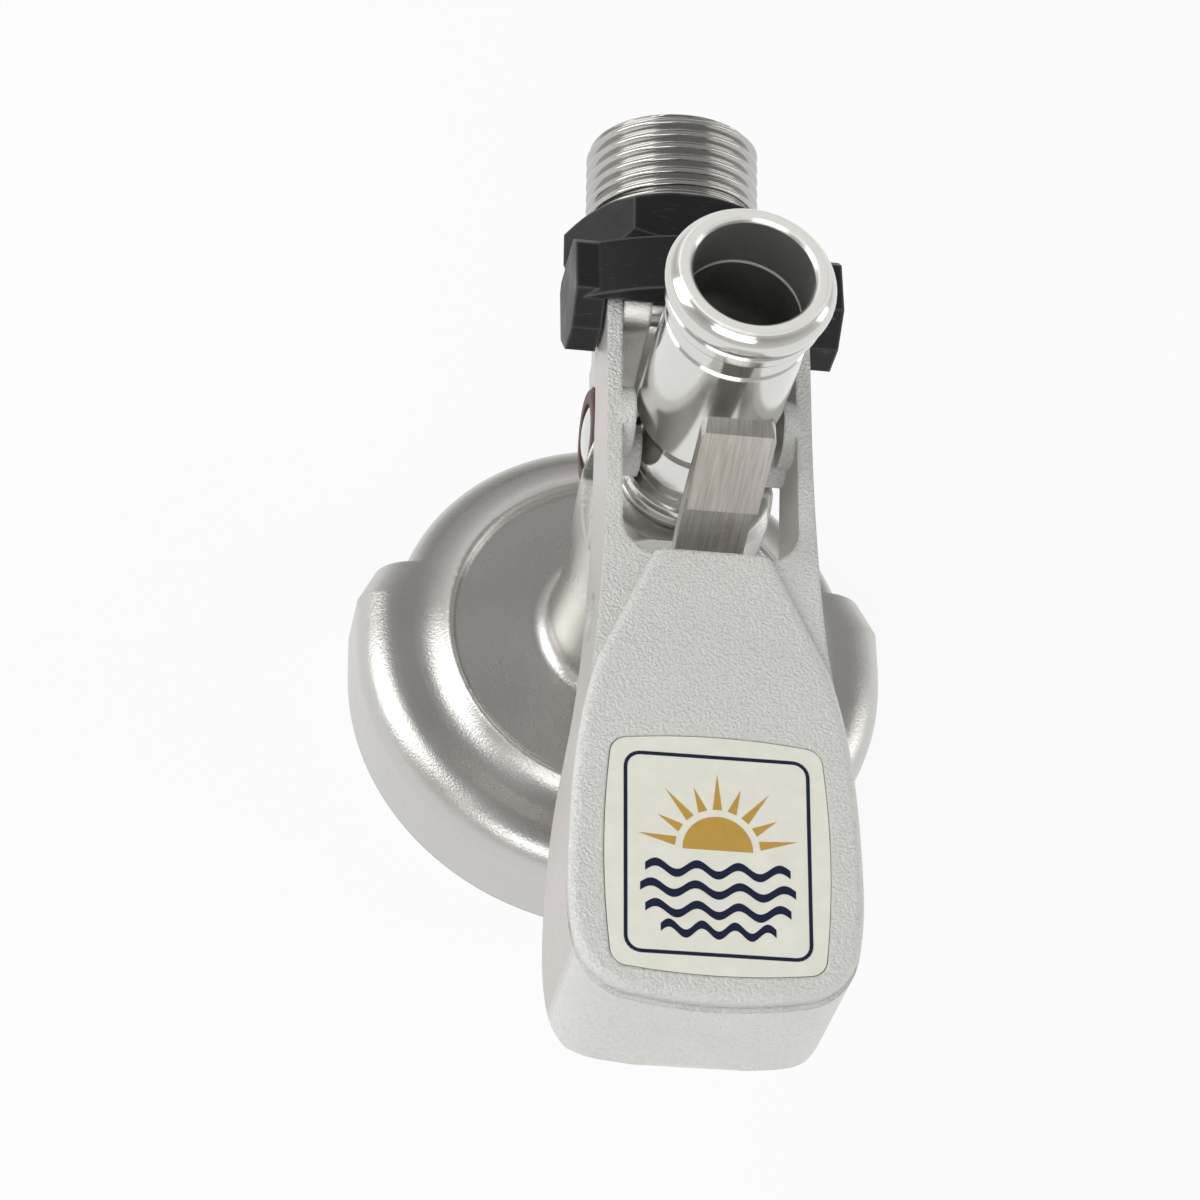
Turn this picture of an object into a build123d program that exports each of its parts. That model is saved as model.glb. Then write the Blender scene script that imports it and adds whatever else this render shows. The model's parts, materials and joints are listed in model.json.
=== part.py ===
from build123d import *
from math import cos, sin, radians, sqrt
import os

# Slide-on keg coupler: a cast body that slides over the flange of a flat keg neck,
# a probe that a hand lever drives down into the keg valve, and a thumb latch on the lever.
# Millimetres, +Z up along the probe. The origin is on the probe axis, in the plane of the lips'
# underside. The lever points to -Y and the gas port to +Y. The lever is shown up, keg shut.

os.makedirs("parts", exist_ok=True)

# Clearances
running_fit = 0.05      # radial play of a shaft in its bore
side_play = 0.3         # play between moving side faces
seat_play = 0.1         # play round a piece that sits still in a pocket
press_play = 0.02       # play round a pin that sits tight
cut_past = 12.0         # cuts from above start this far over the column's top

# Shoe that grips the keg flange
shoe_r = 36.25          # outside of the skirt
shoe_back = 10.2        # the skirt runs straight back to here
horn_cut = 2.2          # the skirt's rear corners are cut off by this much in X
horn_run = 4.2          # and by this much in Y
shoe_wall = 2.9
lip_height = 3.0
lip_reach = 4.2         # how far the lips stand in from the skirt's inner wall
slot_height = 6.0       # room for the keg flange
roof_thick = 6.0
shoulder_r = 5.0        # rolled edge of the shoe
rear_roll = 2.3         # smaller roll on the rear disc
disc_r = 31.8           # rear disc that covers the flange
ridge_r = 24.4          # crest on top of the disc
ridge_run = 5.6         # the disc climbs to the crest over this length
ridge_height = 2.3
crest_half = 0.45       # half width of the crest
dish_drop = 0.9         # step down inside the ridge
hub_rise = 1.6          # the dish climbs this much to the hub
hub_fillet = 2.4

# Column
column_r = 11.2         # waist of the column
column_top_r = 12.4
column_top = 57.5
waist_high = 30.0
cylinder_depth = 16.0   # smooth cylinder for the probe's piston, from the column's top
gas_gap = 1.2           # ring of gas room round the probe's stem
keeper_low = 34.0       # underside of the latch keeper
keeper_high = 37.2
keeper_half = 4.6
keeper_out = 4.2        # how far the keeper stands out of the column
keeper_rise = 3.4       # height of the ramp above the keeper
slot_depth = 4.6        # side slots of the column for the lever's lugs
slot_play = 1.5         # room round a lug in its slot
slot_shift = -0.3       # the slot lies this far off the lug's lowest place
front_flat = 10.5       # the column's front is milled flat where the latch passes

# Gas port
port_tilt = 80.2        # degrees from +Z
port_z = 46.7           # height where the port's axis meets the probe's axis
neck_r = 9.6            # round neck of the port, hidden between the lever's arms
neck_drop = 4.6         # the neck is taller than wide by this much, downwards
boss_start = 4.0
boss_end = 32.8
boss_flange_r = 12.4    # short flange behind the washer
boss_flange = 3.4
washer_thick = 0.8
washer_r = 12.4
nut_length = 6.8
nut_flats = 25.0
nut_chamfer = 1.3
thread_r = 11.455       # G 5/8 major radius
thread_length = 12.7
thread_relief = 0.4     # the union is this much slimmer under the nut
union_bore_r = 8.0
spigot_r = 7.2          # part of the union inside the boss
spigot_length = 11.0
spigot_bore_r = 4.8
pocket_start = 13.0     # drilled pocket behind the spigot
pocket_r = 4.4
passage_r = 2.0         # drilled way from the pocket to the probe's bore
passage_y = 15.6
valve_seat = 1.5        # the check valve sits this far inside the collar

# Side plug
plug_y = 10.2
plug_z = 48.5
side_boss_r = 6.9       # round boss on the neck's side under the plug
side_face = 9.9
plug_r = 4.2
plug_dome = 0.8
plug_neck_r = 3.0
plug_neck = 3.6
plug_rim = 0.9
ring_r = 6.2            # rubber ring round the plug's head
ring_thick = 1.3
ring_round = 0.6

# Probe
bore_r = 7.37           # outlet socket
socket_depth = 20.0
line_r = 5.4            # beer way below the socket
stop_r = 6.4            # counterbore in the socket's floor for the ball stop
stop_thick = 1.4
probe_top = 101.0
bead_r = 10.35
bead_height = 3.6
face_r = 9.3            # flat ring at the top
neck_ring_r = 9.75
neck_ring_height = 1.9
tube_r = 8.9
line_groove_down = 9.7  # fine turned line, from the probe's top
line_groove_size = 0.4
waist_r = 7.2           # stem and the waist that the lugs grip
cone_height = 3.6
piston_height = 11.4
probe_foot = 13.0       # lower end of the steel stem
piston_play = 0.05

# Lever
pivot_y = 16.0
pivot_z = 70.2
lever_close = 28.0      # degrees the lever turns down to tap the keg
eye_r = 5.2
lever_slope = 6.0       # degrees, the lever falls towards its nose
arm_drop = 1.6          # the arms' top lies this far under the paddle's top
arm_half = 12.8         # half width over the arms at the pivot
arm_inner = 10.9
window_front = -21.4
window_corner = 4.5
paddle_half = 17.5
nose_y = -79.0
plate_thick = 4.6       # top plate of the paddle
wall_thick = 2.4        # side walls and nose wall
lug_y = -2.5
lug_z = 65.0
lug_r = 3.2
lug_play = 0.45         # play of the lugs in the probe's waist
lug_gap = 0.3           # from a lug's end to the waist
pad_y = -1.5            # round pads on the arms' inner faces over the lugs
pad_z = 69.8
pad_r = 4.3
pad_gap = 0.35          # from a pad to the tube
pad_round = 0.9

# Badge on the paddle
badge_y = -61.0
badge_half_x = 12.6
badge_half_y = 14.0
badge_bulge = 0.9
badge_corner = 2.2
badge_depth = 1.0

# Hinge pin and its clip
pin_r = 2.5
pin_half = 15.2
cheek_in = 7.0
clip_block_half = 17.0
clip_gap = 0.4
clip_front = 10.2
clip_back = 21.8
clip_low = 64.6
clip_high = 76.6
strap_thick = 3.0
strap_front = 12.6
strap_back = 20.6
strap_arch = 1.0

# Latch
latch_pin_y = -26.3
latch_pin_z = 63.5
latch_pin_r = 1.9
latch_half = 4.5        # half width at the blade's tip
latch_waist = 4.2       # half width at the pin and the toe
latch_boss_r = 4.0
latch_head_r = 3.0      # hole in the lever's side where the pin's end shows
blade_thick = 2.2
tip_round = 1.2         # rounded corners of the blade's tip
toe_grip = 1.7          # how far the toe reaches under the keeper
spring_wire = 0.45      # radius of the wire
spring_pitch = 1.0
spring_turns = 4.5
spacer_r = 3.1
latch_play = 0.4        # between the latch and the keeper

# Small inner pieces
gasket_proud = 1.0
guide_low = 17.0
guide_height = 6.0
guide_notches = 4
duckbill_r = 4.6
duckbill_flange = 1.6
duckbill_length = 6.0
nose_low = 9.4          # lower end of the probe when it is up
nose_bore_r = 4.0
nose_neck_r = 5.9
ball_seat_down = 13.1   # from the socket's floor to the seat's foot
ball_seat_height = 4.0
ball_way_r = 3.2        # hole under the ball
ball_r = 4.3
stop_wall = 0.9
stop_bar = 1.3

# Derived heights and places
lip_top = lip_height
roof_z = lip_top + slot_height
disc_top = roof_z + roof_thick
slot_r = shoe_r - shoe_wall
lip_r = slot_r - lip_reach
cylinder_r = tube_r + piston_play
cylinder_floor = column_top - cylinder_depth
body_bore_r = waist_r + gas_gap
port_dir = Vector(0, sin(radians(port_tilt)), cos(radians(port_tilt)))
waist_top = lug_z + lug_r + lug_play
waist_foot = lug_z - lug_r - lug_play
line_groove_z = probe_top - line_groove_down
ball_seat_z = probe_top - socket_depth - ball_seat_down


def port_plane(distance):
    """Plane across the gas port, this far from the probe's axis."""
    origin = Vector(0, 0, port_z) + port_dir * distance
    return Plane(origin=origin, x_dir=(1, 0, 0), z_dir=port_dir)


def turned(y, z, degrees):
    """A point of the lever after the lever turns down by this many degrees."""
    dy, dz = y - pivot_y, z - pivot_z
    c, s = cos(radians(degrees)), sin(radians(degrees))
    return (pivot_y + dy * c - dz * s, pivot_z + dy * s + dz * c)


def lever_top(y):
    """Height of the paddle's top plane."""
    rise = sin(radians(lever_slope)) / cos(radians(lever_slope))
    return pivot_z + eye_r + arm_drop + (y - pivot_y) * rise


# Lower edge of the lever's side walls, from the eye to the nose
lower_edge = [(pivot_y - 5, pivot_z - 4.4), (4, 65.2), (-11, 61.3), (-26, 58.0), (-45, 52.6), (nose_y + 3, 47.2)]
waist_x = waist_r + lug_gap


def save(builder, name):
    """Label a finished piece and write it."""
    builder.part.label = name
    export_step(builder.part, f"parts/{name}.step")


# Body casting
with BuildPart() as coupler_body:
    # Skirt and roof
    with BuildSketch() as shoe_plan:
        with BuildLine():
            ThreePointArc((-shoe_r, 0), (0, -shoe_r), (shoe_r, 0))
            Polyline(
                (shoe_r, 0),
                (shoe_r, shoe_back - horn_run),
                (shoe_r - horn_cut, shoe_back),
                (horn_cut - shoe_r, shoe_back),
                (-shoe_r, shoe_back - horn_run),
                (-shoe_r, 0),
            )
        make_face()
    extrude(amount=disc_top)
    top_rim = coupler_body.edges().filter_by_position(Axis.Z, disc_top - 0.01, disc_top + 0.01)
    back_rim = top_rim.filter_by(Axis.X)
    fillet(top_rim - back_rim, radius=shoulder_r)
    # Disc, ridge, dish, hub and column in one turned outline
    with BuildSketch(Plane.XZ):
        with BuildLine():
            dish_z = disc_top + ridge_height - dish_drop
            hub_z = dish_z + hub_rise
            Line((0, roof_z), (disc_r, roof_z))
            crest_z = disc_top + ridge_height
            Line((disc_r, roof_z), (disc_r, disc_top - rear_roll))
            RadiusArc((disc_r, disc_top - rear_roll), (disc_r - rear_roll, disc_top), -rear_roll)
            Line((disc_r - rear_roll, disc_top), (ridge_r + ridge_run - 1, disc_top))
            ThreePointArc(
                (ridge_r + ridge_run - 1, disc_top),
                (ridge_r + ridge_run * 0.36, disc_top + ridge_height * 0.34),
                (ridge_r + crest_half, crest_z - crest_half / 2),
            )
            ThreePointArc(
                (ridge_r + crest_half, crest_z - crest_half / 2),
                (ridge_r, crest_z),
                (ridge_r - crest_half, crest_z - crest_half / 2),
            )
            Polyline(
                (ridge_r - crest_half, crest_z - crest_half / 2),
                (ridge_r - 2 * crest_half, dish_z),
                (column_r + hub_fillet, hub_z),
            )
            RadiusArc((column_r + hub_fillet, hub_z), (column_r, hub_z + hub_fillet), hub_fillet)
            Line((column_r, hub_z + hub_fillet), (column_r, waist_high))
            Spline(
                (column_r, waist_high),
                (column_top_r, column_top - 6),
                tangents=[(0, 1), (0, 1)],
            )
            Polyline(
                (column_top_r, column_top - 6),
                (column_top_r, column_top - 1),
                (column_top_r - 1, column_top),
                (0, column_top),
                (0, roof_z),
            )
        make_face()
    revolve(axis=Axis.Z)
    # Boss of the gas port
    with BuildSketch(port_plane(boss_start)):
        Circle(neck_r)
        with Locations((0, neck_drop)):
            Circle(neck_r)
        with Locations((0, neck_drop / 2)):
            Rectangle(2 * neck_r, neck_drop)
    extrude(amount=boss_end - boss_start)
    with BuildSketch(port_plane(boss_end - boss_flange)):
        Circle(boss_flange_r)
    extrude(amount=boss_flange)
    flange_edges = coupler_body.edges().filter_by(GeomType.CIRCLE).sort_by(Axis.Y)[-1:]
    chamfer(flange_edges, length=0.6)
    # Round boss for the side plug
    with BuildSketch(Plane.YZ.offset(-side_face)):
        with Locations((plug_y, plug_z)):
            Circle(side_boss_r)
    extrude(amount=side_face)
    # Cheeks that carry the hinge pin
    cheek_out = arm_inner - side_play
    with BuildSketch(Plane.YZ.offset(cheek_in)) as cheek_side:
        with BuildLine():
            Polyline(
                (7.5, port_z + 1.5),
                (8.6, column_top + 2.5),
                (pivot_y - eye_r, pivot_z),
                (pivot_y + eye_r, pivot_z),
                (pivot_y + eye_r + 0.3, column_top),
                (pivot_y + 3.5, port_z + 2.5),
                (7.5, port_z + 1.5),
            )
        make_face()
        with Locations((pivot_y, pivot_z)):
            Circle(eye_r)
    extrude(amount=cheek_out - cheek_in)
    mirror(about=Plane.YZ)
    # Keeper for the latch
    with BuildSketch(Plane.YZ) as keeper_side:
        with BuildLine():
            Polyline(
                (-column_r + 1.5, keeper_low),
                (-column_r - keeper_out + 0.8, keeper_low),
                (-column_r - keeper_out, keeper_low + 0.8),
                (-column_r - keeper_out + 0.4, keeper_high - 0.6),
                (-column_r + 1.5, keeper_high + keeper_rise),
                (-column_r + 1.5, keeper_low),
            )
        make_face()
    extrude(amount=keeper_half, both=True)
    # Room under the roof for the keg flange, open to the back
    with BuildSketch(Plane.XY.offset(lip_top)):
        with BuildLine():
            ThreePointArc((-slot_r, 0), (0, -slot_r), (slot_r, 0))
            Polyline((slot_r, 0), (slot_r, disc_r + 2), (-slot_r, disc_r + 2), (-slot_r, 0))
        make_face()
    extrude(amount=slot_height, mode=Mode.SUBTRACT)
    with BuildSketch():
        with BuildLine():
            ThreePointArc((-lip_r, 0), (0, -lip_r), (lip_r, 0))
            Polyline((lip_r, 0), (lip_r, disc_r + 2), (-lip_r, disc_r + 2), (-lip_r, 0))
        make_face()
    extrude(amount=lip_top, mode=Mode.SUBTRACT)
    # Groove for the keg gasket
    gasket_in = body_bore_r + 1.6
    gasket_out = gasket_in + 6.0
    with BuildSketch(Plane.XY.offset(roof_z)):
        Circle(gasket_out + seat_play)
        Circle(gasket_in - seat_play, mode=Mode.SUBTRACT)
    extrude(amount=1.6, mode=Mode.SUBTRACT)
    # Bores for the probe and its piston
    with BuildSketch(Plane.XY.offset(roof_z - 1)):
        Circle(body_bore_r)
    extrude(amount=column_top + cut_past - roof_z, mode=Mode.SUBTRACT)
    with BuildSketch(Plane.XY.offset(cylinder_floor)):
        Circle(cylinder_r)
    extrude(amount=cylinder_depth + cut_past, mode=Mode.SUBTRACT)
    # Slots for the lever's lugs
    lug_far = turned(lug_y, lug_z, lever_close)
    slot_mid = (lug_far[0] + slot_shift, column_top - slot_depth)
    with BuildSketch(Plane.YZ) as lug_slots:
        with BuildLine():
            wide = lug_r + slot_play
            Polyline(
                (slot_mid[0] + wide, slot_mid[1] + wide),
                (slot_mid[0] + wide, column_top + cut_past),
                (slot_mid[0] - wide, column_top + cut_past),
                (slot_mid[0] - wide, slot_mid[1] + wide),
            )
            ThreePointArc(
                (slot_mid[0] - wide, slot_mid[1] + wide),
                slot_mid,
                (slot_mid[0] + wide, slot_mid[1] + wide),
            )
        make_face()
    extrude(amount=column_top_r + 1, both=True, mode=Mode.SUBTRACT)
    # Flats where the lever's arms swing past the column
    with BuildSketch(Plane.YZ.offset(cheek_out)) as arm_path:
        with BuildLine():
            swept = [turned(y, z, lever_close + 1) for y, z in lower_edge[:5]]
            Polyline((swept[0][0], 90), *swept, (swept[4][0], 90), (swept[0][0], 90))
        make_face()
    extrude(amount=8, mode=Mode.SUBTRACT)
    with BuildSketch(Plane.YZ.offset(-cheek_out)):
        with BuildLine():
            Polyline((swept[0][0], 90), *swept, (swept[4][0], 90), (swept[0][0], 90))
        make_face()
    extrude(amount=-8, mode=Mode.SUBTRACT)
    # Flat on the column's front where the latch passes
    with BuildSketch(Plane.XY.offset(keeper_high + keeper_rise)):
        with Locations((0, -front_flat - column_top_r / 2)):
            Rectangle(2 * column_top_r, column_top_r)
    extrude(amount=column_top - keeper_high, mode=Mode.SUBTRACT)
    # Hinge bore through both cheeks
    with BuildSketch(Plane.YZ.offset(-arm_half)):
        with Locations((pivot_y, pivot_z)):
            Circle(pin_r + running_fit)
    extrude(amount=2 * arm_half, mode=Mode.SUBTRACT)
    # Gas way: seat for the union, then a drilled passage down to the probe's bore
    with BuildSketch(port_plane(boss_end - spigot_length - seat_play)):
        Circle(spigot_r + seat_play)
    extrude(amount=spigot_length + 2, mode=Mode.SUBTRACT)
    with BuildSketch(port_plane(pocket_start)):
        Circle(pocket_r)
    extrude(amount=boss_end - spigot_length - pocket_start, mode=Mode.SUBTRACT)
    passage_z = cylinder_floor - passage_r - 0.6
    with BuildSketch(Plane.XZ.offset(-passage_y - passage_r)):
        with Locations((0, passage_z)):
            Circle(passage_r)
    extrude(amount=passage_y + passage_r, mode=Mode.SUBTRACT)
    with BuildSketch(Plane.XY.offset(passage_z)):
        with Locations((0, passage_y)):
            Circle(passage_r - 0.2)
    extrude(amount=port_z - passage_z, mode=Mode.SUBTRACT)
    # Spot face for the ring of the side plug and hole for the plug's neck
    with BuildSketch(Plane.YZ.offset(-side_face)):
        with Locations((plug_y, plug_z)):
            Circle(ring_r + 3 * seat_play)
    extrude(amount=-boss_start, mode=Mode.SUBTRACT)
    with BuildSketch(Plane.YZ.offset(-side_face)):
        with Locations((plug_y, plug_z)):
            Circle(plug_neck_r + seat_play)
    extrude(amount=plug_neck + seat_play, mode=Mode.SUBTRACT)
save(coupler_body, "coupler_body")

# Keg gasket in the roof's groove
with BuildPart() as keg_gasket:
    with BuildSketch(Plane.XZ):
        with BuildLine():
            Polyline(
                (gasket_in, roof_z + 1.6),
                (gasket_out, roof_z + 1.6),
                (gasket_out, roof_z),
                (gasket_out - 1.2, roof_z - gasket_proud),
                (gasket_in + 1.2, roof_z - gasket_proud),
                (gasket_in, roof_z),
                (gasket_in, roof_z + 1.6),
            )
        make_face()
    revolve(axis=Axis.Z)
save(keg_gasket, "keg_gasket")

# Guide ring at the foot of the body's bore, notched for the gas
with BuildPart() as probe_guide:
    with BuildSketch(Plane.XY.offset(guide_low)):
        Circle(body_bore_r)
        Circle(waist_r + running_fit, mode=Mode.SUBTRACT)
        with PolarLocations(body_bore_r, guide_notches):
            Rectangle(1.4, 4.2, mode=Mode.SUBTRACT)
    extrude(amount=guide_height)
save(probe_guide, "probe_guide")

# Gas union: spigot in the boss, collar under the nut and the threaded stub
with BuildPart() as gas_union:
    union_start = boss_end - spigot_length
    union_end = boss_end + washer_thick + nut_length + thread_length
    valve_start = boss_end + washer_thick + valve_seat
    with BuildSketch(port_plane(union_start)):
        Circle(spigot_r)
    extrude(amount=spigot_length + washer_thick)
    with BuildSketch(port_plane(boss_end + washer_thick)):
        Circle(thread_r - thread_relief)
    extrude(amount=nut_length)
    with BuildSketch(port_plane(boss_end + washer_thick + nut_length)):
        Circle(thread_r)
    extrude(amount=thread_length)
    end_edge = gas_union.edges().filter_by(GeomType.CIRCLE).sort_by(Axis.Y)[-1]
    chamfer(end_edge, length=0.9)
    with BuildSketch(port_plane(valve_start)):
        Circle(union_bore_r)
    extrude(amount=union_end - union_start, mode=Mode.SUBTRACT)
    with BuildSketch(port_plane(union_start - 1)):
        Circle(spigot_bore_r)
    extrude(amount=valve_start - union_start + 2, mode=Mode.SUBTRACT)
save(gas_union, "gas_union")

# Flat washer between the boss and the nut
with BuildPart() as union_washer:
    with BuildSketch(port_plane(boss_end)):
        Circle(washer_r)
        Circle(spigot_r + seat_play, mode=Mode.SUBTRACT)
    extrude(amount=washer_thick)
save(union_washer, "union_washer")

# Black hex nut, its corners turned off at both faces
nut_corner = nut_flats / sqrt(3)
nut_rim = nut_flats / 2 + 0.1
with BuildPart() as nut_turning:
    with BuildSketch(Plane.XZ):
        with BuildLine():
            Polyline(
                (0, 0),
                (nut_rim, 0),
                (nut_corner + 0.2, nut_chamfer),
                (nut_corner + 0.2, nut_length - nut_chamfer),
                (nut_rim, nut_length),
                (0, nut_length),
                (0, 0),
            )
        make_face()
    revolve(axis=Axis.Z)

with BuildPart() as hex_nut:
    with BuildSketch(port_plane(boss_end + washer_thick)):
        RegularPolygon(radius=nut_flats / 2, side_count=6, major_radius=False)
    extrude(amount=nut_length)
    add(port_plane(boss_end + washer_thick) * nut_turning.part, mode=Mode.INTERSECT)
    with BuildSketch(port_plane(boss_end)):
        Circle(thread_r + seat_play)
    extrude(amount=nut_length + 2, mode=Mode.SUBTRACT)
save(hex_nut, "hex_nut")

# Gas check valve: rubber duckbill and the plastic ring that holds it in the union
with BuildPart() as check_duckbill:
    with BuildSketch(port_plane(valve_start)):
        Circle(union_bore_r - seat_play)
    extrude(amount=duckbill_flange)
    with BuildSketch(port_plane(valve_start + duckbill_flange)):
        Circle(duckbill_r)
    with BuildSketch(port_plane(valve_start + duckbill_flange + duckbill_length)):
        Rectangle(2 * duckbill_r, 1.6)
    loft()
save(check_duckbill, "check_duckbill")

with BuildPart() as check_ring:
    ring_start = valve_start + duckbill_flange
    with BuildSketch(port_plane(ring_start)):
        Circle(union_bore_r - seat_play)
        Circle(duckbill_r + 0.5, mode=Mode.SUBTRACT)
    extrude(amount=duckbill_length + 1.5)
    with BuildSketch(port_plane(ring_start + duckbill_length + 1.5)):
        Circle(union_bore_r - seat_play)
        with PolarLocations(duckbill_r, 3):
            Circle(1.7, mode=Mode.SUBTRACT)
    extrude(amount=1.8)
save(check_ring, "check_ring")

# Domed side plug with a rubber ring round its head
with BuildPart() as plug_washer:
    with BuildSketch(Plane.YZ.offset(-side_face)):
        with Locations((plug_y, plug_z)):
            Circle(ring_r)
            Circle(plug_r + seat_play, mode=Mode.SUBTRACT)
    extrude(amount=-ring_thick)
    ring_edge = plug_washer.edges().filter_by(GeomType.CIRCLE).sort_by(SortBy.RADIUS)[-2:]
    fillet(ring_edge.sort_by(Axis.X)[0], radius=ring_round)
save(plug_washer, "plug_washer")

with BuildPart() as side_plug:
    dome_start = -side_face
    dome_rim = dome_start - plug_rim
    with BuildSketch(Plane.XY.offset(plug_z)):
        with BuildLine():
            Polyline(
                (dome_rim - plug_dome, plug_y),
                (dome_start + plug_neck, plug_y),
                (dome_start + plug_neck, plug_y + plug_neck_r),
                (dome_start, plug_y + plug_neck_r),
                (dome_start, plug_y + plug_r),
                (dome_rim, plug_y + plug_r),
            )
            dome_sphere = (plug_r**2 + plug_dome**2) / (2 * plug_dome)
            RadiusArc((dome_rim, plug_y + plug_r), (dome_rim - plug_dome, plug_y), -dome_sphere)
        make_face()
    revolve(axis=Axis(origin=(0, plug_y, plug_z), direction=(1, 0, 0)))
save(side_plug, "side_plug")

# Hinge pin through the lever's eyes and the cheeks
with BuildPart() as hinge_pin:
    with BuildSketch(Plane.YZ.offset(-pin_half)):
        with Locations((pivot_y, pivot_z)):
            Circle(pin_r)
    extrude(amount=2 * pin_half)
    chamfer(hinge_pin.edges().filter_by(GeomType.CIRCLE), length=0.5)
save(hinge_pin, "hinge_pin")

# Black clip over the hinge: end blocks that cover the pin's ends and an arched strap
with BuildPart() as pin_clip:
    block_in = arm_half + clip_gap
    with BuildSketch(Plane.YZ.offset(block_in)) as block_side:
        with BuildLine():
            Polyline(
                (clip_front, clip_low + 3.0),
                (clip_front + 3.4, clip_low),
                (clip_back - 1.0, clip_low),
                (clip_back, clip_low + 1.0),
                (clip_back, clip_high - 1.5),
                (clip_back - 1.5, clip_high),
                (clip_front + 3.2, clip_high),
                (clip_front, clip_high - 4.2),
                (clip_front, clip_low + 3.0),
            )
        make_face()
    extrude(amount=clip_block_half - block_in)
    mirror(about=Plane.YZ)
    strap_low = pivot_z + eye_r + side_play
    with BuildSketch(Plane.XZ.offset(-strap_front)) as strap_shape:
        with BuildLine():
            ThreePointArc((-clip_block_half, clip_high - 1.6), (0, strap_low + strap_thick + strap_arch), (clip_block_half, clip_high - 1.6))
            Line((clip_block_half, clip_high - 1.6), (clip_block_half, clip_high - 5))
            Line((clip_block_half, clip_high - 5), (block_in, clip_high - 5))
            Line((block_in, clip_high - 5), (block_in, strap_low))
            Line((block_in, strap_low), (-block_in, strap_low))
            Line((-block_in, strap_low), (-block_in, clip_high - 5))
            Line((-block_in, clip_high - 5), (-clip_block_half, clip_high - 5))
            Line((-clip_block_half, clip_high - 5), (-clip_block_half, clip_high - 1.6))
        make_face()
    extrude(amount=-(strap_back - strap_front))
    # Feet that stand on the cheeks
    with BuildSketch(Plane.XY.offset(pivot_z + eye_r)):
        with Locations((-(cheek_in + cheek_out) / 2, pivot_y), ((cheek_in + cheek_out) / 2, pivot_y)):
            Rectangle(cheek_out - cheek_in, 3.0)
    extrude(amount=side_play + 1)
    # Sockets for the pin's ends
    with BuildSketch(Plane.YZ.offset(-pin_half - 0.2)):
        with Locations((pivot_y, pivot_z)):
            Circle(pin_r + seat_play)
    extrude(amount=2 * pin_half + 0.4, mode=Mode.SUBTRACT)
save(pin_clip, "pin_clip")

# Probe: outlet socket, bead, tube, waist for the lugs, piston and stem
with BuildPart() as probe_tube:
    bead_low = probe_top - 0.8 - bead_height
    ring_low = bead_low - neck_ring_height
    stop_z = probe_top - socket_depth - stop_thick - seat_play
    piston_low = waist_foot - piston_height
    with BuildSketch(Plane.XZ):
        with BuildLine():
            Line((line_r, probe_foot), (waist_r, probe_foot))
            Line((waist_r, probe_foot), (waist_r, piston_low))
            Polyline(
                (waist_r, piston_low),
                (tube_r - 0.6, piston_low),
                (tube_r, piston_low + 0.6),
                (tube_r, waist_foot - 3.0),
                (tube_r - 0.8, waist_foot - 2.6),
                (tube_r - 0.8, waist_foot - 1.9),
                (tube_r, waist_foot - 1.5),
                (tube_r, waist_foot - 0.4),
                (tube_r - 0.4, waist_foot),
                (waist_r, waist_foot),
                (waist_r, waist_top),
                (tube_r, waist_top + cone_height),
                (tube_r, line_groove_z - line_groove_size),
                (tube_r - line_groove_size, line_groove_z),
                (tube_r, line_groove_z + line_groove_size),
                (tube_r, ring_low),
                (neck_ring_r, ring_low + 0.4),
                (neck_ring_r, bead_low - 0.3),
                (neck_ring_r - 0.35, bead_low),
            )
            ThreePointArc(
                (neck_ring_r - 0.35, bead_low),
                (bead_r, bead_low + bead_height * 0.5),
                (face_r, probe_top - 0.5),
            )
            Polyline(
                (face_r, probe_top - 0.5),
                (face_r - 0.4, probe_top),
                (bore_r + 0.5, probe_top),
                (bore_r, probe_top - 0.5),
                (bore_r, probe_top - socket_depth),
                (stop_r, probe_top - socket_depth),
                (stop_r, stop_z),
                (line_r, stop_z),
                (line_r, probe_foot),
            )
        make_face()
    revolve(axis=Axis.Z)
    # Groove for the piston's ring
    ring_z = piston_low + 2.4
    with BuildSketch(Plane.XY.offset(ring_z - 1.1)):
        Circle(tube_r + 1)
        Circle(tube_r - 1.5, mode=Mode.SUBTRACT)
    extrude(amount=2.2, mode=Mode.SUBTRACT)
save(probe_tube, "probe_tube")

with BuildPart() as piston_ring:
    with BuildSketch(Plane.XZ):
        with Locations((tube_r - 0.6, ring_z)):
            Circle(0.58)
    revolve(axis=Axis.Z)
save(piston_ring, "piston_ring")

# Probe seal and nose at the foot
with BuildPart() as probe_nose:
    with BuildSketch(Plane.XZ):
        with BuildLine():
            Polyline(
                (nose_bore_r, nose_low),
                (waist_r - 0.4, nose_low),
                (waist_r, nose_low + 0.5),
                (waist_r, nose_low + 1.4),
                (nose_neck_r, nose_low + 1.4),
                (nose_neck_r, probe_foot),
                (line_r - seat_play, probe_foot),
                (line_r - seat_play, probe_foot + 5.0),
                (nose_bore_r, probe_foot + 5.0),
                (nose_bore_r, nose_low),
            )
        make_face()
    revolve(axis=Axis.Z)
save(probe_nose, "probe_nose")

with BuildPart() as probe_seal:
    with BuildSketch(Plane.XZ):
        with BuildLine():
            Polyline(
                (nose_neck_r, nose_low + 1.4),
                (waist_r - 0.2, nose_low + 1.4),
                (body_bore_r - 0.4, probe_foot - 0.9),
                (body_bore_r - 0.4, probe_foot),
                (nose_neck_r, probe_foot),
                (nose_neck_r, nose_low + 1.4),
            )
        make_face()
    revolve(axis=Axis.Z)
save(probe_seal, "probe_seal")

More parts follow.
